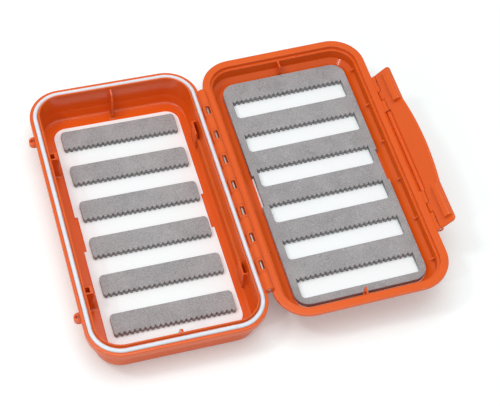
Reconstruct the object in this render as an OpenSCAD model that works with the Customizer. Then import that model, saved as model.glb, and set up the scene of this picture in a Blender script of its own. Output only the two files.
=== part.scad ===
// Fly box lying open on its long barrel hinge: a deep base tray with a seal round its
// rim, and a shallower lid tray that carries the latch flap. Foam holds the flies.
// The box lies on Z = 0 with the hinge along Y. The origin is under the middle of the
// open box. Rim profiles are written as [distance in from the edge, height over the rim].

/* [Trays] */
// Length of each tray, along the hinge
tray_l = 190; // [170:1:230]
// Width of each tray, from the hinge edge to the latch edge
tray_w = 105.5; // [95:0.5:128]
// Outer radius of the rims' corners
corner_r = 20.5; // [18:0.5:24]
// Distance from the hinge axis to the edge of each tray
hinge_gap = 1.6; // [1.5:0.1:2]
// Height of the hinge axis over each rim, which is half the gap between closed rims
rim_drop = 0.65; // [0.6:0.05:0.8]
// Rounding of the rims' moulded edges
edge_r = 0.4; // [0.2:0.1:0.5]
// Angle by which the lid's far edge stands over level when the hinge is on its stop
open_tilt = 2.7; // [1:0.1:4]

/* [Base] */
// Height of the base's rim over the table
base_h = 23.4; // [21:0.2:34]
// Thickness of the base's floor
base_floor = 3.4; // [1.6:0.1:4]
// Distance from the rim's edge to the inner wall
base_inner = 6.2; // [6:0.1:8]
// Thickness of the base's side wall
base_wall = 2; // [1.4:0.1:2.4]
// Height of the flange round the base's rim
base_skirt = 4.4; // [4:0.1:6]
// Inward slope of the side wall, from the flange down to the table
base_draft = 0.7; // [0.3:0.1:1.2]
// Rounding under the base
base_under_r = 5; // [4:0.5:8]
// Rounding between the inner wall and the floor
base_fillet = 0.8; // [0.4:0.1:1.5]
// Thickening of the inner wall at its foot
base_foot_w = 1.2; // [0.4:0.1:2]
// Height over the floor at which the inner wall starts to thicken
base_foot_h = 6.3; // [4:0.1:9]

/* [Seal] */
// Width of the rim's outer lip, outside the seal's groove
outer_lip_w = 1.9; // [1.6:0.1:2.2]
// Width of the seal's groove
groove_w = 2.8; // [2:0.1:3]
// Depth of the seal's groove
groove_d = 2.6; // [2:0.1:3]
// Height by which the seal stands over the rim
seal_proud = 1.1; // [0.6:0.1:1.1]
// Side clearance of the seal in its groove
seal_clear = 0.05; // [0.03:0.01:0.1]
// Width of the raised lip inside the seal
inner_lip_w = 1; // [0.8:0.1:1.2]
// Height of the raised lip over the rim
inner_lip_h = 2; // [1:0.1:2.4]

/* [Lid] */
// Depth of the lid, from its rim to its floor
lid_depth = 13.4; // [13:0.2:20]
// Thickness of the lid's floor
lid_floor = 1.2; // [1:0.1:2]
// Width of the flat band round the lid's rim, which presses on the seal
band_w = 4.8; // [4.7:0.1:5]
// Depth of the step inside the band, which takes the base's raised lip
step_d = 2.5; // [2.4:0.1:3]
// Distance from the rim's edge to the lid's inner wall
lid_inner = 6.3; // [6.2:0.1:8]
// Thickness of the lid's side wall
lid_wall = 1.4; // [1.2:0.1:2]
// Height of the flange round the lid's rim
lid_skirt = 2.4; // [2.2:0.1:3]
// Inward slope of the lid's side wall
lid_draft = 0.4; // [0.2:0.1:0.8]
// Rounding on the lid's outside
lid_under_r = 6.3; // [5.5:0.1:7]
// Reach of the 45 degree slope between the lid's inner wall and its floor
lid_slope = 5.2; // [3:0.1:5.3]
// Rounding at the foot of that slope
lid_blend = 2; // [1:0.5:4]

/* [Hinge] */
// Radius of the hinge barrel
barrel_r = 2.7; // [2.6:0.1:2.9]
// Length of the hinge barrel
barrel_l = 148; // [136:1:150]
// Radius of the hinge pin
pin_r = 1.2; // [1:0.1:1.4]
// Clearance round the pins, on the radius
pin_clear = 0.05; // [0.02:0.01:0.08]
// Knuckles on the lid, each with a window over the pin
lid_knuckles = 7; // [3:2:7]
// Distance between neighbouring lid knuckles
knuckle_pitch = 19.2; // [16:0.2:19.6]
// Length of one lid knuckle
knuckle_l = 9.3; // [7:0.1:10]
// Gap between the ends of neighbouring knuckles
knuckle_gap = 0.15; // [0.1:0.05:0.3]
// Clearance of the barrel in the opposite tray's flange
barrel_clear = 0.25; // [0.2:0.05:0.3]
// Length of the window in a lid knuckle
window_l = 6.2; // [3:0.1:6.6]
// Width of that window, over the hinge pin
window_w = 2.5; // [1:0.1:3]
// Reach of the stop heel under the barrel, past the hinge axis
heel_reach = 1.65; // [1.4:0.05:1.7]
// Depth of the heel's underside below the hinge axis
heel_drop = 3.6; // [3.2:0.1:4]
// Thickness of the heel
heel_t = 1.3; // [1:0.1:1.5]

/* [Latch] */
// Distance from the lid's edge out to the latch axis
latch_out = 2.3; // [2.3:0.1:3]
// Depth of the latch axis below the lid's rim
latch_drop = 1.2; // [1:0.1:1.4]
// Radius of the latch barrels
latch_r = 2; // [1.8:0.1:2]
// Radius of the latch pins
latch_pin_r = 0.9; // [0.7:0.1:1]
// Half the length of the flap's round root, and the start of the lid's latch lugs
latch_in = 31; // [28:0.5:36]
// Half the length of the latch flap
flap_half = 59.5; // [56:0.5:59.5]
// Reach of the flap from the latch axis, at its ends
flap_s = 12.3; // [12:0.1:15]
// Further reach of the flap's bowed middle
flap_bow = 2.4; // [1:0.1:5]
// Thickness of the flap
flap_t = 2; // [1.8:0.1:2]
// Radius of the flap's end corners
flap_corner_r = 2.5; // [2:0.5:4]
// Distance of the flap's knuckles from the middle of the box
latch_knuckle_v = 43.4; // [42:0.1:45]
// Length of each of the flap's knuckles
latch_knuckle_l = 6.4; // [5:0.1:9]
// Gap between neighbouring latch knuckles and lugs
latch_gap = 0.3; // [0.2:0.05:0.4]
// Length of the window in each outer latch lug
latch_window_l = 5; // [3:0.1:6]
// Width of that window, over the latch pin
latch_window_w = 1.5; // [1:0.1:1.8]
// Thickness of the webs that carry the latch lugs
latch_web_t = 2; // [1.6:0.1:2]
// Gap between the latch barrels and the curved sill under them
latch_sill_gap = 0.4; // [0.35:0.05:0.5]
// Thickness of that sill
latch_sill_t = 0.8; // [0.6:0.1:1]
// Angle by which the sill reaches round under the barrels
latch_sill_a = 60; // [40:1:60]
// Radius of the round root between the latch lugs
root_r = 1.6; // [1.2:0.1:1.6]
// Distance from the latch axis to the plain plate, over the hollow beside the root
root_s = 2.4; // [2:0.1:3]
// Length of each hook bar
hook_l = 23; // [15:1:24]
// Distance of each hook bar from the middle of the box, to its centre
hook_v = 44.5; // [42:0.5:46]
// Width of a hook bar
hook_w = 4.6; // [3:0.1:4.8]
// Height of a hook bar over the flap
hook_t = 2.6; // [1.6:0.1:2.8]
// Rounding along the outer side of a hook bar
hook_r = 2.2; // [0.6:0.1:2.4]
// Gap between a hook bar and the base's flange when latched
hook_gap = 0.2; // [0.1:0.05:0.4]
// Angle of the flap over the lid's own plane, as the box lies open
latch_rest = 44; // [20:1:70]

/* [Inserts] */
// Offset of the base's board towards the hinge
board_shift = 0.5; // [0:0.1:1]
// Margin between the base's board and its long inner walls
board_side = 7; // [7:0.1:8]
// Margin between the base's board and its near inner wall
board_near = 8.2; // [8:0.1:10]
// Margin between the base's board and its far inner wall
board_far = 9.7; // [8:0.1:11]
// Thickness of the base's board
board_t = 1; // [0.6:0.1:1.4]
// Corner radius of the base's board
board_r = 8; // [4:0.5:10]
// Distance between neighbouring foam strips
strip_pitch = 26.6; // [20:0.2:28]
// Depth of a foam strip, over its teeth
strip_w = 14.2; // [10:0.2:16]
// Thickness of a foam strip
strip_t = 3.1; // [2.5:0.1:5]
// Margin from the ends of a foam strip to the edges of its board
strip_side = 3.45; // [3:0.05:6]
// Offset of the foam strips on their board, towards the hinge
strip_shift = 0.5; // [0:0.1:1]
// Offset of the foam strips from the middle of the box, towards the far end
strip_off = 0.9; // [0:0.1:2]
// Radius of a foam strip's plain corners
strip_r = 2.5; // [1:0.5:3]
// Teeth along the edge of each foam strip and window
teeth = 24; // [12:1:30]
// Depth of the foam teeth
tooth_d = 1.3; // [0.8:0.1:2]
// Offset of the lid's pad away from the hinge
pad_shift = 0.7; // [0:0.1:0.8]
// Margin between the lid's pad and its long inner walls
pad_side = 6.1; // [5.9:0.1:8]
// Margin between the lid's pad and its short inner walls
pad_end = 5.5; // [5.4:0.1:8]
// Thickness of the lid's pad
pad_t = 3.2; // [3:0.2:4.6]
// Thickness of the lid's board
lid_board_t = 0.6; // [0.4:0.1:1]
// Margin from the lid pad's long edges to its windows
window_side = 4.3; // [3:0.1:6]
// Distance between neighbouring windows in the lid's pad
pad_pitch = 26.8; // [22:0.2:27.2]
// Depth of a window in the lid's pad, over its teeth
pad_window_w = 13.6; // [10:0.2:16]
// Offset of the windows from the pad's middle, towards the near end
window_off = 4.3; // [0:0.1:5]
// Radius of the plain corners of a window
window_r = 2.5; // [1:0.5:3]
// Length of the hand notches in the base's board
notch_l = 25; // [16:1:30]
// Length of the hand notches in the lid's pad
pad_notch_l = 23; // [14:1:26]
// Depth of those notches
pad_notch_d = 1.1; // [0.8:0.1:1.6]
// Margin of the lid's board inside the pad's long sides
lid_board_in = 0.4; // [0.2:0.1:0.6]
// Depth of the notches in the base's board
notch_d = 1.6; // [1:0.1:2]

/* [Details] */
// Distance of the clips beside the hinge from the middle of the box
clip_y = 52.1; // [40:0.1:60]
// Length of a clip
clip_l = 10.5; // [7:0.1:12]
// Reach of a clip from the inner wall, at its top
clip_p = 2.9; // [2.4:0.1:4.2]
// Thickness of a clip's plate
clip_t = 1; // [0.8:0.1:1.4]
// Depth of the clips' tops below the rim
clip_top = 4.6; // [3:0.1:6]
// Reach of the rail between the clips
rail_p = 1.6; // [1:0.1:2.5]
// Distance of the rests on the opposite wall from the middle of the box
rest_y = 47.9; // [40:0.1:56]
// Length of a rest along the wall
rest_l = 5.4; // [4:0.1:8]
// Reach of a rest from the inner wall
rest_p = 4.9; // [3:0.1:5]
// Reach of the toe at a rest's foot
toe_p = 6.2; // [5.5:0.1:6.4]
// Depth of the rests' tops below the rim
rest_top = 2.6; // [2:0.1:5]
// Reach of a fin at the base's floor
base_fin_p = 7.2; // [5:0.1:7.2]
// Reach of a fin in the lid
lid_fin_p = 5; // [3:0.1:5]
// Thickness of a fin
fin_t = 1.1; // [0.8:0.1:2]
// Radius of the round post at the foot of each fin's free edge
fin_post_r = 1.2; // [0.8:0.1:1.6]
// Height of that post over the floor
fin_post_h = 4.4; // [2:0.1:6]
// Distance between neighbouring nubs on the lid's long inner walls
nub_pitch = 29.4; // [24:0.2:29.4]
// Reach of a nub from the wall
nub_p = 2.2; // [1:0.1:3]
// Depth of the nubs' tops below the lid's rim
nub_top = 6; // [5:0.1:7]
// Height of a nub
nub_h = 2.2; // [1.5:0.1:3]
// Thickness of a nub
nub_t = 1; // [0.6:0.1:1.6]
// Distance of each lanyard eyelet from the middle of the box
eyelet_y = 62.8; // [62.8:0.1:68]
// Outer radius of an eyelet
eyelet_r = 2.8; // [2.6:0.1:3]
// Radius of an eyelet's hole
eyelet_hole_r = 1.1; // [0.9:0.05:1.1]
// Thickness of an eyelet
eyelet_t = 3.6; // [2.4:0.1:4.4]

/* [Hidden] */
$fn = 64;
// Foam strips in the base and windows in the lid's pad, as many as the strips' nodes
strips = 6;
orange = "#ed7132";
steel = "#c9c9c6";
foam_grey = "#a0969a";
white = "#f6f7f8";

// The wall lines of the two trays
base_top_d = base_inner - base_wall;
base_foot_d = base_top_d + base_draft;
base_floor_z = base_floor - base_h;
lid_top_d = lid_inner - lid_wall;
lid_foot_d = lid_top_d + lid_draft;
neck_d = band_w - lid_wall;
// Height at which the lid's inner wall meets the slope to its floor
lid_crease_z = lid_slope - lid_blend * (sqrt(2) - 1) - lid_depth;
// The latch, measured from the hinge axis in the lid's own frame
latch_u = hinge_gap + tray_w + latch_out;
latch_h = -rim_drop - latch_drop;
hook_s = 2 * rim_drop + latch_drop + base_skirt + hook_gap;
latch_lugs = [[latch_in + latch_gap, latch_knuckle_v - latch_knuckle_l / 2 - latch_gap],
              [latch_knuckle_v + latch_knuckle_l / 2 + latch_gap, flap_half - latch_gap]];
bow_half = latch_in + 1;
bow_r = (bow_half * bow_half + flap_bow * flap_bow) / (2 * flap_bow);
// The ends of the open box along X, from the hinge axis, which place the origin
eyelet_out = 0.5;
eyelet_hole_out = 1.2;
eyelet_z = -base_skirt - 3.2;
tip_s = flap_s + flap_bow - flap_t / 2;
tip_u = latch_u + tip_s * cos(latch_rest) - flap_t / 2 * sin(latch_rest);
tip_h = latch_h + tip_s * sin(latch_rest) + flap_t / 2 * cos(latch_rest);
x_max = tip_u * cos(open_tilt) - tip_h * sin(open_tilt) + flap_t / 2;
x_min = -(hinge_gap + tray_w + eyelet_out + eyelet_r);
shift_x = -(x_max + x_min) / 2;
// Depth to which webs run into the part that carries them
web_in = 1;
// The inserts
board_w = tray_w - 2 * (base_inner + board_side);
board_l = tray_l - 2 * base_inner - board_near - board_far;
pad_w = tray_w - 2 * (lid_inner + pad_side);
pad_l = tray_l - 2 * (lid_inner + pad_end);
strip_l = board_w - 2 * strip_side;
window_u = pad_w - 2 * window_side;
lid_pad_z = -lid_depth + lid_board_t;
pad_r = corner_r - lid_inner - lid_slope - 0.2;

// Points on an arc, from angle a to angle b
function arc(x, y, r, a, b, n) =
    [for (i = [0:n]) [x + r * cos(a + (b - a) * i / n), y + r * sin(a + (b - a) * i / n)]];

// One row of foam teeth pointing to -Y, from x0 to x1, with their roots at y
function tooth_row(x0, x1, y, d, n) =
    [for (i = [0:n - 1]) for (k = [[0.04, 0], [0.36, 1], [0.62, 1], [0.94, 0]])
        [x0 + (x1 - x0) * (i + k[0]) / n, y - d * k[1]]];

// Section of the base: lip, seal groove, raised lip, wall, floor and flange
base_profile = concat(
    arc(edge_r, -edge_r, edge_r, 180, 90, 3),
    [[outer_lip_w, 0], [outer_lip_w, -groove_d]],
    [[outer_lip_w + groove_w, -groove_d], [outer_lip_w + groove_w, 0]],
    [[base_inner - inner_lip_w, 0]],
    arc(base_inner - inner_lip_w / 2, inner_lip_h - inner_lip_w / 2, inner_lip_w / 2, 180, 0, 6),
    [[base_inner, base_floor_z + base_foot_h]],
    arc(base_inner + base_foot_w + base_fillet, base_floor_z + base_fillet, base_fillet,
        180, 270, 4),
    [[corner_r, base_floor_z], [corner_r, -base_h]],
    arc(base_foot_d + base_under_r, base_under_r - base_h, base_under_r, 270, 180, 8),
    [[base_top_d, -base_skirt]],
    arc(edge_r, edge_r - base_skirt, edge_r, 270, 180, 3));

// Section of the lid: flat band, step, wall, floor, and the neck under the band
lid_profile = concat(
    arc(edge_r, -edge_r, edge_r, 180, 90, 3),
    [[band_w, 0], [band_w, -step_d], [lid_inner, -step_d]],
    [[lid_inner, lid_crease_z]],
    arc(lid_inner + lid_slope, lid_blend - lid_depth, lid_blend, 225, 270, 3),
    [[corner_r, -lid_depth], [corner_r, -lid_depth - lid_floor]],
    arc(lid_foot_d + lid_under_r, lid_under_r - lid_depth - lid_floor, lid_under_r, 270, 180, 8),
    [[lid_top_d, -step_d - lid_wall - 0.5], [neck_d, -step_d - lid_wall + 0.3]],
    [[neck_d, -lid_skirt]],
    arc(edge_r, edge_r - lid_skirt, edge_r, 270, 180, 3));

// Section of the seal, a strip with a half-round crown
seal_r = groove_w / 2 - seal_clear;
seal_profile = concat(
    arc(outer_lip_w + groove_w / 2, seal_proud - seal_r, seal_r, 180, 0, 10),
    [[outer_lip_w + groove_w - seal_clear, 0.02 - groove_d]],
    [[outer_lip_w + seal_clear, 0.02 - groove_d]]);

// Section of a plate of thickness t with its rim rounded by e, filled in to depth r
function plate_profile(r, t, e) =
    concat(arc(e, e, e, 270, 180, 6), arc(e, t - e, e, 180, 90, 6), [[r, t], [r, 0]]);

// A profile carried round a rectangle with rounded corners: four turned corners and
// four straight runs
module rim(w, l, r, profile) {
    for (k = [0:3]) {
        half = k % 2 == 0 ? w / 2 : l / 2;
        run = k % 2 == 0 ? l - 2 * r : w - 2 * r;
        side = k % 2 == 0 ? l / 2 : w / 2;
        rotate([0, 0, 90 * k])
            translate([half - r, side - r, 0])
                rotate_extrude(angle = 90)
                    polygon([for (p = profile) [r - p[0], p[1]]]);
        rotate([0, 0, 90 * k])
            rotate([90, 0, 0])
                linear_extrude(run, center = true)
                    polygon([for (p = profile) [half - p[0], p[1]]]);
    }
}

// A flat or dished body: the rim's profile with its middle filled from z0 to z1
module dish(w, l, r, profile, z0, z1) {
    rim(w, l, r, profile);
    translate([r - w / 2, r - l / 2, z0])
        cube([w - 2 * r, l - 2 * r, z1 - z0]);
}

// Frames: the base tray's middle at its rim, the hinge axis, the open lid and the latch
module at_base() {
    translate([shift_x - hinge_gap - tray_w / 2, 0, base_h])
        children();
}
module at_hinge() {
    translate([shift_x, 0, base_h + rim_drop])
        children();
}
module at_lid() {
    at_hinge()
        rotate([0, -open_tilt, 0])
            children();
}
module at_lid_rim() {
    at_lid()
        translate([hinge_gap + tray_w / 2, 0, -rim_drop])
            children();
}
module at_latch() {
    at_lid()
        translate([latch_u, 0, latch_h])
            rotate([0, -latch_rest, 0])
                children();
}

// A round bar along Y, from y0 to y1
module bar(r, y0, y1) {
    translate([0, y0, 0])
        rotate([-90, 0, 0])
            cylinder(h = y1 - y0, r = r);
}

// A block between two corners
module block(a, b) {
    translate(a)
        cube(b - a);
}

// Middles of the lid's hinge knuckles, and the spans that the base's knuckles fill
knuckle_mids = [for (i = [0:lid_knuckles - 1]) (i - (lid_knuckles - 1) / 2) * knuckle_pitch];
knuckle_end = knuckle_mids[lid_knuckles - 1] + knuckle_l / 2 + knuckle_gap;
base_spans = concat(
    [[-barrel_l / 2, -knuckle_end]],
    [for (i = [0:lid_knuckles - 2])
        [knuckle_mids[i] + knuckle_l / 2 + knuckle_gap,
         knuckle_mids[i + 1] - knuckle_l / 2 - knuckle_gap]],
    [[knuckle_end, barrel_l / 2]]);

// Hinge knuckles and the webs that join them to the base's flange
module base_knuckles() {
    for (s = base_spans) {
        bar(barrel_r, s[0], s[1]);
        block([-hinge_gap - web_in, s[0], -barrel_r], [0, s[1], -rim_drop]);
    }
}

// Hinge knuckles of the lid, with the heel that stops the open lid against the base
module lid_knuckle_row() {
    for (m = knuckle_mids) {
        y0 = m - knuckle_l / 2;
        y1 = m + knuckle_l / 2;
        bar(barrel_r, y0, y1);
        block([0, y0, -barrel_r], [hinge_gap + web_in, y1, -rim_drop]);
        block([-heel_reach, y0, -heel_drop], [hinge_gap + web_in, y1, heel_t - heel_drop]);
    }
}

// A fin at the middle of each short wall, with a round post at the foot of its free edge
module fins(side, reach, half, floor_z) {
    for (m = [0, 1])
        mirror([0, m, 0])
            translate([0, half, 0]) {
                rotate([90, 0, -90])
                    linear_extrude(fin_t, center = true)
                        polygon(side);
                translate([0, fin_post_r - reach, floor_z - 0.2])
                    cylinder(h = fin_post_h + 0.2, r = fin_post_r);
            }
}

// A clip on the wall beside the hinge: a plate that tapers down to the wall's foot, with a
// slot behind it that is closed at the clip's outer end
module clip() {
    foot_z = base_floor_z + 0.6;
    slot_z = -clip_top - 8;
    slot_x = clip_p - clip_t;
    difference() {
        translate([0, clip_l / 2, 0])
            rotate([90, 0, 0])
                linear_extrude(clip_l)
                    polygon([[-0.5, -clip_top], [clip_p, -clip_top],
                             [clip_p - 0.7, foot_z], [-0.5, foot_z]]);
        translate([0, clip_l / 2 - clip_t, 0])
            rotate([90, 0, 0])
                linear_extrude(clip_l)
                    polygon([[0, 0], [slot_x, 0], [slot_x, -clip_top], [0.4, slot_z], [0, slot_z]]);
    }
}

// A rest on the opposite wall, down to the floor, with a small pocket in its top and a toe
module rest() {
    pocket = rest_l - 2 * clip_t;
    difference() {
        translate([0, rest_l / 2, 0])
            rotate([90, 0, 0])
                linear_extrude(rest_l)
                    polygon([[-0.5, -rest_top], [rest_p - 0.4, -rest_top], [rest_p, -rest_top - 0.4],
                             [rest_p, base_floor_z + 1.6], [toe_p, base_floor_z + 0.7],
                             [toe_p, base_floor_z - 0.2], [0.4, base_floor_z - 0.2],
                             [-0.5, base_floor_z + base_foot_h]]);
        block([0.2, -pocket / 2, -rest_top - 5], [rest_p - 2, pocket / 2, 0]);
    }
}

module base_tray() {
    long_wall = tray_w / 2 - base_inner;
    rail_z = -clip_top - 6;
    color(orange) {
        at_base()
            for (m = [0, 1])
                mirror([0, m, 0])
                    translate([long_wall, clip_y, 0])
                        mirror([1, 0, 0])
                            clip();
        at_base()
            for (y = [-rest_y, rest_y])
                translate([-long_wall, y, 0])
                    rest();
        at_base()
            block([long_wall - rail_p, clip_l / 2 - clip_y, rail_z - 1.4],
                  [long_wall + 0.5, clip_y - clip_l / 2, rail_z]);
        at_base()
            fins([[-0.5, 0], [0, 0], [base_fin_p / 2, -1.4], [base_fin_p - 1.4, -5],
                  [base_fin_p, -11.5], [base_fin_p, base_floor_z - 0.2], [0.4, base_floor_z - 0.2],
                  [-0.5, base_floor_z + base_foot_h]],
                 base_fin_p, tray_l / 2 - base_inner, base_floor_z);
        difference() {
            union() {
                at_base()
                    dish(tray_w, tray_l, corner_r, base_profile, -base_h, base_floor_z);
                at_base()
                    for (y = [-eyelet_y, eyelet_y])
                        translate([-tray_w / 2 - eyelet_out, y, eyelet_z])
                            cylinder(h = eyelet_t, r = eyelet_r);
            }
            at_hinge()
                for (m = knuckle_mids)
                    bar(barrel_r + barrel_clear, m - knuckle_l / 2 - knuckle_gap,
                        m + knuckle_l / 2 + knuckle_gap);
            at_base()
                for (y = [-eyelet_y, eyelet_y])
                    translate([-tray_w / 2 - eyelet_hole_out, y, eyelet_z - 1])
                        cylinder(h = eyelet_t + 4, r = eyelet_hole_r);
        }
        at_hinge()
            difference() {
                base_knuckles();
                bar(pin_r + pin_clear, -barrel_l / 2 - 1, barrel_l / 2 + 1);
            }
    }
}

module base_gasket() {
    color(white)
        at_base()
            rim(tray_w, tray_l, corner_r, seal_profile);
}

// A flat sheet with round corners, of thickness t
module sheet(w, l, r, t) {
    dish(w, l, r, [[0, 0], [r, 0], [r, t], [0, t]], 0, t);
}

// The cuts for a hand notch, d deep, at the middle of each long side of a sheet
module hand_notches(w, notch, d, t) {
    for (x = [-1, 1])
        translate([x * w / 2, 0, t / 2])
            cube([2 * d, notch, t + 2], center = true);
}

module base_board() {
    color(white)
        at_base()
            translate([board_shift, (board_near - board_far) / 2, base_floor_z])
                difference() {
                    sheet(board_w, board_l, board_r, board_t);
                    translate([0, (board_far - board_near) / 2, 0])
                        hand_notches(board_w, notch_l, notch_d, board_t);
                }
}

// A foam strip: two plain rounded corners, and a toothed edge towards -Y
module base_foam(i) {
    y = ((strips - 1) / 2 - i) * strip_pitch + strip_off;
    half = strip_l / 2;
    outline = concat(
        arc(half - strip_r, strip_w / 2 - strip_r, strip_r, 0, 90, 5),
        arc(strip_r - half, strip_w / 2 - strip_r, strip_r, 90, 180, 5),
        tooth_row(-half, half, tooth_d - strip_w / 2, tooth_d, teeth));
    color(foam_grey)
        at_base()
            translate([board_shift + strip_shift, y, base_floor_z + board_t])
                linear_extrude(strip_t)
                    polygon(outline);
}

// A nub on the lid's long inner wall, a thin ramp that steadies the pad
module nub() {
    translate([0, nub_t / 2, 0])
        rotate([90, 0, 0])
            linear_extrude(nub_t)
                polygon([[-0.5, -nub_top], [0, -nub_top], [nub_p, 0.6 - nub_top - nub_h],
                         [nub_p, -nub_top - nub_h], [-0.5, -nub_top - nub_h]]);
}

module lid_tray() {
    long_wall = tray_w / 2 - lid_inner;
    edge_u = hinge_gap + tray_w;
    sill_r = latch_r + latch_sill_gap;
    sill_half = latch_lugs[1][0] + web_in;
    color(orange) {
        at_lid_rim()
            for (m = [0, 1])
                mirror([m, 0, 0])
                    for (i = [-2.5:1:2.5])
                        translate([-long_wall, i * nub_pitch, 0])
                            nub();
        at_lid_rim()
            fins([[-0.5, -step_d - 0.1], [lid_fin_p, -step_d - 0.1], [lid_fin_p, -lid_depth - 0.2],
                  [lid_slope - 1, -lid_depth - 0.2], [-0.5, lid_crease_z - 0.3]],
                 lid_fin_p, tray_l / 2 - lid_inner, -lid_depth);
        difference() {
            at_lid_rim()
                dish(tray_w, tray_l, corner_r, lid_profile, -lid_depth - lid_floor, -lid_depth);
            at_lid()
                for (s = base_spans)
                    bar(barrel_r + barrel_clear, s[0] - knuckle_gap, s[1] + knuckle_gap);
            at_lid()
                translate([edge_u, latch_in, 0])
                    rotate([90, 0, 0])
                        linear_extrude(2 * latch_in)
                            polygon([[-1.6, -rim_drop], [0.4, -rim_drop - 1.1], [0.4, 1], [-1.6, 1]]);
        }
        at_lid()
            difference() {
                lid_knuckle_row();
                bar(pin_r + pin_clear, -barrel_l / 2, barrel_l / 2);
                for (m = knuckle_mids)
                    block([-window_w / 2, m - window_l / 2, 0.3], [window_w / 2, m + window_l / 2, 4]);
            }
        at_lid()
            translate([latch_u, sill_half, latch_h])
                rotate([90, 0, 0])
                    linear_extrude(2 * sill_half)
                        polygon(concat(
                            arc(0, 0, sill_r, 190, 180 + latch_sill_a, 6),
                            arc(0, 0, sill_r + latch_sill_t, 180 + latch_sill_a, 200, 6)));
        at_lid()
            for (m = [0, 1])
                mirror([0, m, 0])
                    translate([latch_u, 0, latch_h])
                        difference() {
                            for (g = latch_lugs) {
                                bar(latch_r, g[0], g[1]);
                                block([-latch_out - web_in, g[0], -latch_web_t / 2],
                                      [0, g[1], latch_web_t / 2]);
                            }
                            bar(latch_pin_r + pin_clear, latch_in, flap_half);
                            translate([0, (latch_lugs[1][0] + latch_lugs[1][1]) / 2, 0])
                                block([-latch_window_w / 2, -latch_window_l / 2, 0.3],
                                      [latch_window_w / 2, latch_window_l / 2, 4]);
                        }
    }
}

module lid_board() {
    color(white)
        at_lid_rim()
            translate([pad_shift, 0, -lid_depth])
                sheet(pad_w - 2 * lid_board_in, pad_l, pad_r - 0.8, lid_board_t);
}

// The lid's foam: one pad with a window for each row of flies, toothed on its far edge
module lid_foam_pad() {
    half = window_u / 2;
    r = window_r;
    window = concat(
        tooth_row(-half, half, pad_window_w / 2, tooth_d, teeth),
        arc(half - r, r - pad_window_w / 2, r, 0, -90, 4),
        arc(r - half, r - pad_window_w / 2, r, 270, 180, 4));
    color(foam_grey)
        at_lid_rim()
            translate([pad_shift, 0, lid_pad_z])
                difference() {
                    sheet(pad_w, pad_l, pad_r, pad_t);
                    hand_notches(pad_w, pad_notch_l, pad_notch_d, pad_t);
                    for (i = [0:strips - 1])
                        translate([0, ((strips - 1) / 2 - i) * pad_pitch - window_off, -1])
                            linear_extrude(pad_t + 2)
                                polygon(window);
                }
}

module hinge_pin() {
    color(steel)
        at_hinge()
            bar(pin_r, 0.5 - barrel_l / 2, barrel_l / 2 - 0.5);
}

// The flap: a plate with a bowed far edge, a round root, two hook bars, and a knuckle on
// each pin between the lid's lugs
module latch_flap() {
    tip_e = flap_t / 2 - 0.05;
    round_tip = plate_profile(flap_corner_r, flap_t, tip_e);
    color(orange)
        at_latch() {
            difference() {
                union() {
                    translate([flap_s / 2, 0, 0])
                        dish(flap_s, 2 * flap_half, flap_corner_r, round_tip, 0, flap_t);
                    translate([flap_s + flap_bow - bow_r, 0, 0])
                        rotate([0, 0, -asin(bow_half / bow_r)])
                            rotate_extrude(angle = 2 * asin(bow_half / bow_r), $fn = 360)
                                polygon([for (p = plate_profile(flap_bow + 5, flap_t, tip_e))
                                    [bow_r - p[0], p[1]]]);
                    for (m = [0, 1])
                        mirror([0, m, 0]) {
                            bar(latch_r, latch_knuckle_v - latch_knuckle_l / 2,
                                latch_knuckle_v + latch_knuckle_l / 2);
                            translate([0, hook_v + hook_l / 2, flap_t])
                                rotate([90, 0, 0])
                                    linear_extrude(hook_l)
                                        polygon(concat(
                                            [[hook_s, -0.5]],
                                            arc(hook_s + 0.6, hook_t - 0.6, 0.6, 180, 90, 3),
                                            arc(hook_s + hook_w - hook_r, hook_t - hook_r, hook_r,
                                                90, 0, 6),
                                            [[hook_s + hook_w, -0.5]]));
                        }
                }
                block([-latch_out, -latch_in, -latch_r], [root_s, latch_in, flap_t + 1]);
                for (m = [0, 1])
                    mirror([0, m, 0]) {
                        bar(latch_pin_r + pin_clear, latch_in - 1, flap_half + 1);
                        for (g = latch_lugs)
                            bar(latch_r + 0.25, g[0] - latch_gap, g[1] + latch_gap);
                    }
            }
            translate([root_r - latch_r - 0.1, 0, -0.2])
                bar(root_r, -latch_in, latch_in);
            translate([0, latch_in, 0])
                rotate([90, 0, 0])
                    linear_extrude(2 * latch_in)
                        polygon([[-0.5, 0.4 * flap_t], [root_s - 1.4, 0.4 * flap_t], [root_s, flap_t],
                                 [root_s + 0.5, flap_t], [root_s + 0.5, 0], [root_s - 1.4, -0.2],
                                 [-0.5, -1.2]]);
        }
}

module latch_pin() {
    color(steel)
        at_lid()
            translate([latch_u, 0, latch_h])
                bar(latch_pin_r, latch_in + 2 * latch_gap, flap_half - 2 * latch_gap);
}

base_tray();
base_gasket();
base_board();
base_foam(0);  // base_foam_1
base_foam(1);  // base_foam_2
base_foam(2);  // base_foam_3
base_foam(3);  // base_foam_4
base_foam(4);  // base_foam_5
base_foam(5);  // base_foam_6
lid_tray();
lid_board();
lid_foam_pad();
hinge_pin();
latch_flap();
latch_pin();  // latch_pin_far
mirror([0, 1, 0]) latch_pin();  // latch_pin_near
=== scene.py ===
import bpy
from math import cos, sin, pi, radians
from mathutils import Matrix, Vector


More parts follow.
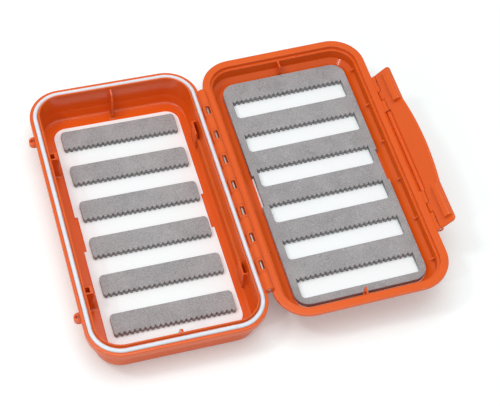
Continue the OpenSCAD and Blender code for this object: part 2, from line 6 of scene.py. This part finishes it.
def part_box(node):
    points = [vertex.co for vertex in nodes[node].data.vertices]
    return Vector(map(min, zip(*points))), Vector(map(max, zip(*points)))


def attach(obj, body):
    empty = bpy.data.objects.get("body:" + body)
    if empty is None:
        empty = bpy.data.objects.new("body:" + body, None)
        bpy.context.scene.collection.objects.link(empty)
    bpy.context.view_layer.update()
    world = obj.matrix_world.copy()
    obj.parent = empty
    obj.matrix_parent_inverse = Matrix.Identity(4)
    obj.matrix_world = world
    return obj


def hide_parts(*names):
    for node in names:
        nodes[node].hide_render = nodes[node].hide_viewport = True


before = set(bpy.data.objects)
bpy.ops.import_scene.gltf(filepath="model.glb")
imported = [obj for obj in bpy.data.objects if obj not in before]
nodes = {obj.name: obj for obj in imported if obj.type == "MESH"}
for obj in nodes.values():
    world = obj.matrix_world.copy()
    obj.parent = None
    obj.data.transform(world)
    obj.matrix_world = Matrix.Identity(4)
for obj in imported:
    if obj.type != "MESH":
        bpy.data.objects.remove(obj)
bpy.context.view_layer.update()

# The fly box lies open on a plain pale table, seen from above its near left corner with a
# longish lens, as in the photograph. The place and turn of the camera come from the box's rims.
camera_data = bpy.data.cameras.new("camera")
camera_data.sensor_fit = "HORIZONTAL"
camera_data.sensor_width = 36
camera_data.lens = 101.3
camera_data.clip_start = 0.05
camera_data.clip_end = 20
camera = bpy.data.objects.new("camera", camera_data)
bpy.context.collection.objects.link(camera)
heading, dip, roll = radians(23.23), radians(54.81), radians(8.41)
ahead = Vector((sin(heading) * cos(dip), cos(heading) * cos(dip), -sin(dip)))
level_right = Vector((cos(heading), -sin(heading), 0))
level_up = level_right.cross(ahead)
right = cos(roll) * level_right + sin(roll) * level_up
up = cos(roll) * level_up - sin(roll) * level_right
turn = Matrix((right, up, -ahead)).transposed().to_4x4()
camera_place = (-0.186776, -0.45257, 0.70177)
camera.matrix_world = Matrix.Translation(camera_place) @ turn
bpy.context.scene.camera = camera

# The table is a seamless sheet of matt white paper, just under the box. It takes the box's
# soft shadow, and shows as white to the camera and in the steel pins, also far off.
table_width, table_below = 6, 0.0004
bpy.ops.mesh.primitive_grid_add(x_subdivisions=8, y_subdivisions=8, size=table_width,
                                location=(0, 0, -table_below))
table = bpy.context.object
table.name = "table"
paper = bpy.data.materials.new("table_paper")
paper.use_nodes = True
tree = paper.node_tree
tree.nodes.clear()
out = tree.nodes.new("ShaderNodeOutputMaterial")
matt = tree.nodes.new("ShaderNodeBsdfDiffuse")
matt.inputs["Color"].default_value = (0.845, 0.93, 0.935, 1)
lift = tree.nodes.new("ShaderNodeEmission")
lift.inputs["Color"].default_value = (1, 1, 1, 1)
path = tree.nodes.new("ShaderNodeLightPath")
seen = tree.nodes.new("ShaderNodeMath")
seen.operation = "MAXIMUM"
tree.links.new(path.outputs["Is Camera Ray"], seen.inputs[0])
tree.links.new(path.outputs["Is Glossy Ray"], seen.inputs[1])
near_edge, far_edge, near_lift, far_lift = 0.3, 1.3, 0.175, 0.60
spot = tree.nodes.new("ShaderNodeTexCoord")
reach = tree.nodes.new("ShaderNodeVectorMath")
reach.operation = "LENGTH"
tree.links.new(spot.outputs["Object"], reach.inputs[0])
far_off = tree.nodes.new("ShaderNodeMapRange")
far_off.inputs["From Min"].default_value = near_edge
far_off.inputs["From Max"].default_value = far_edge
far_off.inputs["To Min"].default_value = near_lift
far_off.inputs["To Max"].default_value = far_lift
tree.links.new(reach.outputs["Value"], far_off.inputs["Value"])
level = tree.nodes.new("ShaderNodeMath")
level.operation = "MULTIPLY"
tree.links.new(seen.outputs[0], level.inputs[0])
tree.links.new(far_off.outputs["Result"], level.inputs[1])
tree.links.new(level.outputs[0], lift.inputs["Strength"])
both = tree.nodes.new("ShaderNodeAddShader")
tree.links.new(matt.outputs[0], both.inputs[0])
tree.links.new(lift.outputs[0], both.inputs[1])
tree.links.new(both.outputs[0], out.inputs["Surface"])
table.data.materials.append(paper)


# Soft studio light: a wide softbox overhead, a small one to the left that shapes the walls,
# and a small lamp low on the near left that leaves a bright spot in the lid's far corner. The
# room is pale and fills the shadows, and the camera sees it white.
def softbox(name, place, aim, width, watts):
    data = bpy.data.lights.new(name, "AREA")
    data.shape = "SQUARE"
    data.size = width
    data.energy = watts
    lamp = bpy.data.objects.new(name, data)
    bpy.context.collection.objects.link(lamp)
    lamp.location = place
    lamp.rotation_euler = (Vector(aim) - Vector(place)).to_track_quat("-Z", "Y").to_euler()
    return lamp


softbox("key_softbox", (-0.60, 0.05, 0.95), (0, 0, 0), 0.16, 1.6)
softbox("glint_lamp", (-0.70, -0.51, 0.70), (0.03, 0.07, 0), 0.06, 0.9)
softbox("top_softbox", (-0.05, 0.05, 1.5), (0, 0, 0), 1.2, 10)
world = bpy.data.worlds.new("room")
bpy.context.scene.world = world
world.use_nodes = True
room = world.node_tree.nodes["Background"]
room.inputs["Color"].default_value = (1, 0.99, 0.98, 1)
room_fill, room_seen = 0.52, 1.02
path = world.node_tree.nodes.new("ShaderNodeLightPath")
glow = world.node_tree.nodes.new("ShaderNodeMapRange")
glow.inputs["To Min"].default_value = room_fill
glow.inputs["To Max"].default_value = room_seen
world.node_tree.links.new(path.outputs["Is Camera Ray"], glow.inputs["Value"])
world.node_tree.links.new(glow.outputs["Result"], room.inputs["Strength"])
bpy.context.scene.view_settings.view_transform = "Standard"


# Both trays and the latch flap are injection moulded in one opaque orange plastic with a
# satin skin. Long edges are painted paler as a painted sheen, and the skin has a faint orange
# peel. Below blend_top the floors meet the walls in wider soft blends than the rims have.
blend_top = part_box("hinge_pin")[0][2] - 0.007
blend_step, wide_blend, rim_blend = 0.001, 0.0024, 0.0007


def orange_plastic():
    mat = bpy.data.materials.new("orange_plastic")
    mat.use_nodes = True
    tree = mat.node_tree
    skin = tree.nodes["Principled BSDF"]
    place = tree.nodes.new("ShaderNodeTexCoord")
    cloud = tree.nodes.new("ShaderNodeTexNoise")
    cloud.inputs["Scale"].default_value = 26
    cloud.inputs["Detail"].default_value = 3
    tree.links.new(place.outputs["Object"], cloud.inputs["Vector"])
    body = tree.nodes.new("ShaderNodeValToRGB")
    body.color_ramp.elements[0].position = 0.3
    body.color_ramp.elements[0].color = (0.77, 0.108, 0.008, 1)
    body.color_ramp.elements[1].position = 0.7
    body.color_ramp.elements[1].color = (0.81, 0.118, 0.010, 1)
    tree.links.new(cloud.outputs["Fac"], body.inputs["Fac"])

    # Where the rounded normal leaves the flat one there is an edge, and edges are painted paler
    # as a painted sheen
    rounded = tree.nodes.new("ShaderNodeBevel")
    rounded.samples = 6
    height = tree.nodes.new("ShaderNodeSeparateXYZ")
    tree.links.new(place.outputs["Object"], height.inputs["Vector"])
    softness = tree.nodes.new("ShaderNodeMapRange")
    softness.inputs["From Min"].default_value = blend_top - blend_step
    softness.inputs["From Max"].default_value = blend_top
    softness.inputs["To Min"].default_value = wide_blend
    softness.inputs["To Max"].default_value = rim_blend
    tree.links.new(height.outputs["Z"], softness.inputs["Value"])
    tree.links.new(softness.outputs["Result"], rounded.inputs["Radius"])
    flat = tree.nodes.new("ShaderNodeNewGeometry")
    bend = tree.nodes.new("ShaderNodeVectorMath")
    bend.operation = "DOT_PRODUCT"
    tree.links.new(rounded.outputs["Normal"], bend.inputs[0])
    tree.links.new(flat.outputs["Normal"], bend.inputs[1])
    edge = tree.nodes.new("ShaderNodeMapRange")
    edge.inputs["From Min"].default_value = 0.98
    edge.inputs["From Max"].default_value = 0.75
    edge.inputs["To Max"].default_value = 0.55
    tree.links.new(bend.outputs["Value"], edge.inputs["Value"])
    painted_edge_sheen = tree.nodes.new("ShaderNodeMix")
    painted_edge_sheen.data_type = "RGBA"
    tree.links.new(edge.outputs["Result"], painted_edge_sheen.inputs["Factor"])
    tree.links.new(body.outputs["Color"], painted_edge_sheen.inputs["A"])
    # This paler orange is painted sheen on the edges
    painted_edge_sheen.inputs["B"].default_value = (0.88, 0.17, 0.03, 1)
    tree.links.new(painted_edge_sheen.outputs["Result"], skin.inputs["Base Color"])

    scuff = tree.nodes.new("ShaderNodeTexNoise")
    scuff.inputs["Scale"].default_value = 140
    scuff.inputs["Detail"].default_value = 4
    tree.links.new(place.outputs["Object"], scuff.inputs["Vector"])
    satin = tree.nodes.new("ShaderNodeMapRange")
    satin.inputs["To Min"].default_value = 0.13
    satin.inputs["To Max"].default_value = 0.22
    tree.links.new(scuff.outputs["Fac"], satin.inputs["Value"])
    tree.links.new(satin.outputs["Result"], skin.inputs["Roughness"])

    peel = tree.nodes.new("ShaderNodeTexNoise")
    peel.inputs["Scale"].default_value = 900
    peel.inputs["Detail"].default_value = 2
    tree.links.new(place.outputs["Object"], peel.inputs["Vector"])
    bump = tree.nodes.new("ShaderNodeBump")
    bump.inputs["Strength"].default_value = 0.25
    bump.inputs["Distance"].default_value = 0.00004
    tree.links.new(peel.outputs["Fac"], bump.inputs["Height"])
    tree.links.new(rounded.outputs["Normal"], bump.inputs["Normal"])
    tree.links.new(bump.outputs["Normal"], skin.inputs["Normal"])
    skin.inputs["IOR"].default_value = 1.49
    return mat


plastic = orange_plastic()
for name in ("base_tray", "lid_tray", "latch_flap"):
    nodes[name].data.materials.clear()
    nodes[name].data.materials.append(plastic)

# The hinge pin and the two latch pins are drawn stainless wire, seen through the knuckles'
# windows and at the barrels' ends.
steel = bpy.data.materials.new("pin_steel")
steel.use_nodes = True
tree = steel.node_tree
skin = tree.nodes["Principled BSDF"]
skin.inputs["Metallic"].default_value = 1
place = tree.nodes.new("ShaderNodeTexCoord")
drawn = tree.nodes.new("ShaderNodeMapping")
drawn.inputs["Scale"].default_value = (2600, 40, 2600)
tree.links.new(place.outputs["Object"], drawn.inputs["Vector"])
lines = tree.nodes.new("ShaderNodeTexNoise")
lines.inputs["Scale"].default_value = 1
lines.inputs["Detail"].default_value = 3
tree.links.new(drawn.outputs["Vector"], lines.inputs["Vector"])
tone = tree.nodes.new("ShaderNodeValToRGB")
tone.color_ramp.elements[0].color = (0.50, 0.49, 0.48, 1)
tone.color_ramp.elements[1].color = (0.74, 0.73, 0.71, 1)
tree.links.new(lines.outputs["Fac"], tone.inputs["Fac"])
tree.links.new(tone.outputs["Color"], skin.inputs["Base Color"])
sheen = tree.nodes.new("ShaderNodeMapRange")
sheen.inputs["To Min"].default_value = 0.22
sheen.inputs["To Max"].default_value = 0.42
tree.links.new(lines.outputs["Fac"], sheen.inputs["Value"])
tree.links.new(sheen.outputs["Result"], skin.inputs["Roughness"])
for name in ("hinge_pin", "latch_pin_far", "latch_pin_near"):
    nodes[name].data.materials.clear()
    nodes[name].data.materials.append(steel)

# The seal is a soft ring of pale blue-white silicone with a half-round crown. It is pressed
# into the groove round the base's rim, and its skin is smooth with a little dust.
hinge_x = (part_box("hinge_pin")[0][0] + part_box("hinge_pin")[1][0]) / 2
hinge_z = (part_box("hinge_pin")[0][2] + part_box("hinge_pin")[1][2]) / 2
tray_w, tray_l, tray_corner, hinge_gap, rim_drop = 0.1055, 0.190, 0.0205, 0.0016, 0.00065
base_rim = Matrix.Translation((hinge_x - hinge_gap - tray_w / 2, 0, hinge_z - rim_drop))


def rounded_loop(inset, height, steps=20):
    """Points round a tray at a distance in from its edge, at a height over its rim."""
    points = []
    radius = tray_corner - inset
    for quarter, (sx, sy) in enumerate(((1, 1), (-1, 1), (-1, -1), (1, -1))):
        for i in range(steps + 1):
            a = (quarter + i / steps) * pi / 2
            points.append((sx * (tray_w / 2 - tray_corner) + radius * cos(a),
                           sy * (tray_l / 2 - tray_corner) + radius * sin(a), height))
    return points


seal_mid, seal_half, seal_top, seal_foot = 0.0033, 0.00133, 0.0011, -0.00256
section = [(seal_mid - seal_half, seal_foot)]
for i in range(17):
    a = pi - pi * i / 16
    section.append((seal_mid + seal_half * cos(a), seal_top - seal_half + seal_half * sin(a)))
section.append((seal_mid + seal_half, seal_foot))
loops = [rounded_loop(d, z) for d, z in section]
count = len(loops[0])
points = [p for loop in loops for p in loop]
faces = []
for k in range(len(loops)):
    nxt = (k + 1) % len(loops)
    for i in range(count):
        j = (i + 1) % count
        faces.append((k * count + i, k * count + j, nxt * count + j, nxt * count + i))
mesh = bpy.data.meshes.new("seal")
mesh.from_pydata(points, [], faces)
mesh.transform(base_rim)
mesh.update()
mesh.shade_smooth()
mesh.set_sharp_from_angle(angle=radians(50))
seal = bpy.data.objects.new("seal", mesh)
bpy.context.collection.objects.link(seal)
silicone = bpy.data.materials.new("seal_silicone")
silicone.use_nodes = True
tree = silicone.node_tree
skin = tree.nodes["Principled BSDF"]
place = tree.nodes.new("ShaderNodeTexCoord")
dust = tree.nodes.new("ShaderNodeTexNoise")
dust.inputs["Scale"].default_value = 220
dust.inputs["Detail"].default_value = 5
tree.links.new(place.outputs["Object"], dust.inputs["Vector"])
tone = tree.nodes.new("ShaderNodeValToRGB")
tone.color_ramp.elements[0].position = 0.35
tone.color_ramp.elements[0].color = (0.72, 0.80, 0.87, 1)
tone.color_ramp.elements[1].position = 0.65
tone.color_ramp.elements[1].color = (0.78, 0.86, 0.93, 1)
tree.links.new(dust.outputs["Fac"], tone.inputs["Fac"])
tree.links.new(tone.outputs["Color"], skin.inputs["Base Color"])
soft = tree.nodes.new("ShaderNodeMapRange")
soft.inputs["To Min"].default_value = 0.34
soft.inputs["To Max"].default_value = 0.52
tree.links.new(dust.outputs["Fac"], soft.inputs["Value"])
tree.links.new(soft.outputs["Result"], skin.inputs["Roughness"])
bump = tree.nodes.new("ShaderNodeBump")
bump.inputs["Strength"].default_value = 0.2
bump.inputs["Distance"].default_value = 0.00003
tree.links.new(dust.outputs["Fac"], bump.inputs["Height"])
tree.links.new(bump.outputs["Normal"], skin.inputs["Normal"])
mesh.materials.append(silicone)
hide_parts("base_gasket")
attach(seal, "base")

# Each tray has a thin white plastic board under its foam, die cut with round corners and a
# hand notch in each long side. The sheet is smooth, with a faint calendered grain.
board_white = bpy.data.materials.new("board_white")
board_white.use_nodes = True
tree = board_white.node_tree
skin = tree.nodes["Principled BSDF"]
place = tree.nodes.new("ShaderNodeTexCoord")
grain = tree.nodes.new("ShaderNodeTexNoise")
grain.inputs["Scale"].default_value = 420
grain.inputs["Detail"].default_value = 4
tree.links.new(place.outputs["Object"], grain.inputs["Vector"])
tone = tree.nodes.new("ShaderNodeValToRGB")
tone.color_ramp.elements[0].color = (0.925, 0.965, 0.975, 1)
tone.color_ramp.elements[1].color = (0.94, 0.975, 0.985, 1)
tree.links.new(grain.outputs["Fac"], tone.inputs["Fac"])
tree.links.new(tone.outputs["Color"], skin.inputs["Base Color"])
satin = tree.nodes.new("ShaderNodeMapRange")
satin.inputs["To Min"].default_value = 0.42
satin.inputs["To Max"].default_value = 0.56
tree.links.new(grain.outputs["Fac"], satin.inputs["Value"])
tree.links.new(satin.outputs["Result"], skin.inputs["Roughness"])
bump = tree.nodes.new("ShaderNodeBump")
bump.inputs["Strength"].default_value = 0.15
bump.inputs["Distance"].default_value = 0.00003
tree.links.new(grain.outputs["Fac"], bump.inputs["Height"])
tree.links.new(bump.outputs["Normal"], skin.inputs["Normal"])
for name in ("base_board", "lid_board"):
    nodes[name].data.materials.clear()
    nodes[name].data.materials.append(board_white)


# The foam is a closed-cell sheet, mid grey with a fine speckle of open cells. It is die cut,
# so its edges stand upright, and the edge that grips the flies is cut in small teeth.
def grey_foam():
    mat = bpy.data.materials.new("grey_foam")
    mat.use_nodes = True
    tree = mat.node_tree
    skin = tree.nodes["Principled BSDF"]
    place = tree.nodes.new("ShaderNodeTexCoord")
    cells = tree.nodes.new("ShaderNodeTexVoronoi")
    cells.inputs["Scale"].default_value = 2600
    tree.links.new(place.outputs["Object"], cells.inputs["Vector"])
    fleck = tree.nodes.new("ShaderNodeTexNoise")
    fleck.inputs["Scale"].default_value = 1500
    fleck.inputs["Detail"].default_value = 3
    tree.links.new(place.outputs["Object"], fleck.inputs["Vector"])
    blotch = tree.nodes.new("ShaderNodeTexNoise")
    blotch.inputs["Scale"].default_value = 90
    blotch.inputs["Detail"].default_value = 2
    tree.links.new(place.outputs["Object"], blotch.inputs["Vector"])
    mixed = tree.nodes.new("ShaderNodeMath")
    mixed.operation = "MULTIPLY_ADD"
    mixed.inputs[1].default_value = 0.35
    tree.links.new(blotch.outputs["Fac"], mixed.inputs[0])
    tree.links.new(fleck.outputs["Fac"], mixed.inputs[2])
    tone = tree.nodes.new("ShaderNodeValToRGB")
    tone.color_ramp.elements[0].position = 0.45
    tone.color_ramp.elements[0].color = (0.250, 0.247, 0.254, 1)
    tone.color_ramp.elements[1].position = 0.90
    tone.color_ramp.elements[1].color = (0.455, 0.449, 0.459, 1)
    tree.links.new(mixed.outputs[0], tone.inputs["Fac"])

    # Faces that look towards -Y, the toothed edges, face away from the light, so they are
    # darkened with painted shade
    parts = tree.nodes.new("ShaderNodeSeparateXYZ")
    tree.links.new(place.outputs["Normal"], parts.inputs["Vector"])
    painted_shade_side = tree.nodes.new("ShaderNodeMapRange")
    painted_shade_side.inputs["From Min"].default_value = -0.2
    painted_shade_side.inputs["From Max"].default_value = -0.6
    painted_shade_side.inputs["To Max"].default_value = 0.42
    tree.links.new(parts.outputs["Y"], painted_shade_side.inputs["Value"])
    shade = tree.nodes.new("ShaderNodeMix")
    shade.data_type = "RGBA"
    # The dark colour that the -Y faces take on is painted shade
    shade.inputs["B"].default_value = (0.075, 0.072, 0.074, 1)
    tree.links.new(painted_shade_side.outputs["Result"], shade.inputs["Factor"])
    tree.links.new(tone.outputs["Color"], shade.inputs["A"])
    tree.links.new(shade.outputs["Result"], skin.inputs["Base Color"])
    skin.inputs["Roughness"].default_value = 0.9
    skin.inputs["Sheen Weight"].default_value = 0.15
    skin.inputs["Specular IOR Level"].default_value = 0.25
    pits = tree.nodes.new("ShaderNodeBump")
    pits.inputs["Strength"].default_value = 0.6
    pits.inputs["Distance"].default_value = 0.00012
    tree.links.new(cells.outputs["Distance"], pits.inputs["Height"])
    coarse = tree.nodes.new("ShaderNodeBump")
    coarse.inputs["Strength"].default_value = 0.4
    coarse.inputs["Distance"].default_value = 0.0002
    tree.links.new(fleck.outputs["Fac"], coarse.inputs["Height"])
    tree.links.new(pits.outputs["Normal"], coarse.inputs["Normal"])
    tree.links.new(coarse.outputs["Normal"], skin.inputs["Normal"])
    return mat


foam = grey_foam()
tooth_count, tooth_depth = 24, 0.0013
cut_margin, soft_edge = 0.0001, 0.0003


def corner_points(x, y, radius, start, end, steps=6):
    return [(x + radius * cos(radians(start + (end - start) * i / steps)),
             y + radius * sin(radians(start + (end - start) * i / steps)))
            for i in range(steps + 1)]


def toothed_edge(x0, x1, y):
    """A row of round-shouldered teeth that point to -Y, with their roots at y."""
    points = []
    for k in range(tooth_count):
        for share, depth in ((0.04, 0.0), (0.12, 0.15), (0.28, 0.82), (0.36, 0.98), (0.49, 1.0),
                             (0.62, 0.98), (0.70, 0.82), (0.86, 0.15), (0.94, 0.0)):
            points.append((x0 + (x1 - x0) * (k + share) / tooth_count, y - tooth_depth * depth))
    return points


def die_cut(name, outlines, thickness, round_by):
    """A sheet of foam cut to outlines, the first its edge and the rest its windows, with its
    upper and lower edges rounded by a radius."""
    curve = bpy.data.curves.new(name, "CURVE")
    curve.dimensions = "2D"
    curve.fill_mode = "BOTH"
    for outline in outlines:
        spline = curve.splines.new("POLY")
        spline.points.add(len(outline) - 1)
        for point, (x, y) in zip(spline.points, outline):
            point.co = (x, y, 0, 1)
        spline.use_cyclic_u = True
    curve.extrude = thickness / 2 - round_by
    curve.bevel_depth = round_by
    curve.bevel_resolution = 2
    curve.offset = -round_by
    shape = bpy.data.objects.new(name + "_outline", curve)
    bpy.context.collection.objects.link(shape)
    bpy.context.view_layer.update()
    graph = bpy.context.evaluated_depsgraph_get()
    mesh = bpy.data.meshes.new_from_object(shape.evaluated_get(graph))
    bpy.data.objects.remove(shape)
    mesh.name = name
    mesh.transform(Matrix.Translation((0, 0, thickness / 2)))
    mesh.materials.clear()
    mesh.materials.append(foam)
    piece = bpy.data.objects.new(name, mesh)
    bpy.context.collection.objects.link(piece)
    return piece


# Six narrow strips of that foam are glued across the base's board, with their teeth towards
# the near end. The first is the farthest.
strip_l, strip_w, strip_t, strip_corner = 0.0722, 0.0142, 0.0031, 0.0025
board_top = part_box("base_board")[1][2]
for k in range(6):
    half, side = strip_l / 2 - cut_margin, strip_w / 2 - cut_margin
    outline = corner_points(half - strip_corner, side - strip_corner, strip_corner, 0, 90)
    outline += corner_points(strip_corner - half, side - strip_corner, strip_corner, 90, 180)
    outline += toothed_edge(-half, half, tooth_depth - side)
    strip = die_cut("foam_strip_%d" % (k + 1), [outline], strip_t, soft_edge)
    low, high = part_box("base_foam_%d" % (k + 1))
    middle = ((low[0] + high[0]) / 2, (low[1] + high[1]) / 2, board_top)
    strip.data.transform(Matrix.Translation(middle))
    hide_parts("base_foam_%d" % (k + 1))
    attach(strip, "base")

# The lid's foam is one pad with six windows, each toothed along its far edge. It lies on the
# lid's board, tilted with the lid, which stands a little over level on its stop.
open_tilt = radians(2.7)
lid_rim = (Matrix.Translation((hinge_x, 0, hinge_z)) @ Matrix.Rotation(-open_tilt, 4, "Y")
           @ Matrix.Translation((hinge_gap + tray_w / 2, 0, -rim_drop)))
pad_w, pad_l, pad_t, pad_corner, pad_floor = 0.0807, 0.1664, 0.0032, 0.0088, -0.0128
window_l, window_w, window_pitch, window_corner = 0.0721, 0.0136, 0.0268, 0.0025
pad_shift, windows_shift = 0.0007, -0.0043
x, y = pad_w / 2 - cut_margin, pad_l / 2 - cut_margin
notch, notch_d = 0.0115, 0.0012
edge = corner_points(x - pad_corner, y - pad_corner, pad_corner, 0, 90, 10)
edge += corner_points(pad_corner - x, y - pad_corner, pad_corner, 90, 180, 10)
edge += [(-x, notch), (notch_d - x, notch), (notch_d - x, -notch), (-x, -notch)]
edge += corner_points(pad_corner - x, pad_corner - y, pad_corner, 180, 270, 10)
edge += corner_points(x - pad_corner, pad_corner - y, pad_corner, 270, 360, 10)
edge += [(x, -notch), (x - notch_d, -notch), (x - notch_d, notch), (x, notch)]
outlines = [edge]
for k in range(6):
    mid = (2.5 - k) * window_pitch + windows_shift
    half = window_l / 2
    top, foot = mid + window_w / 2 + cut_margin, mid - window_w / 2 - cut_margin
    window = toothed_edge(-half, half, top)
    window += corner_points(half - window_corner, foot + window_corner, window_corner, 0, -90)
    window += corner_points(window_corner - half, foot + window_corner, window_corner, 270, 180)
    outlines.append(window)
pad = die_cut("lid_pad", outlines, pad_t, soft_edge)
pad.data.transform(lid_rim @ Matrix.Translation((pad_shift, 0, pad_floor)))
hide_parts("lid_foam_pad")
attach(pad, "lid")
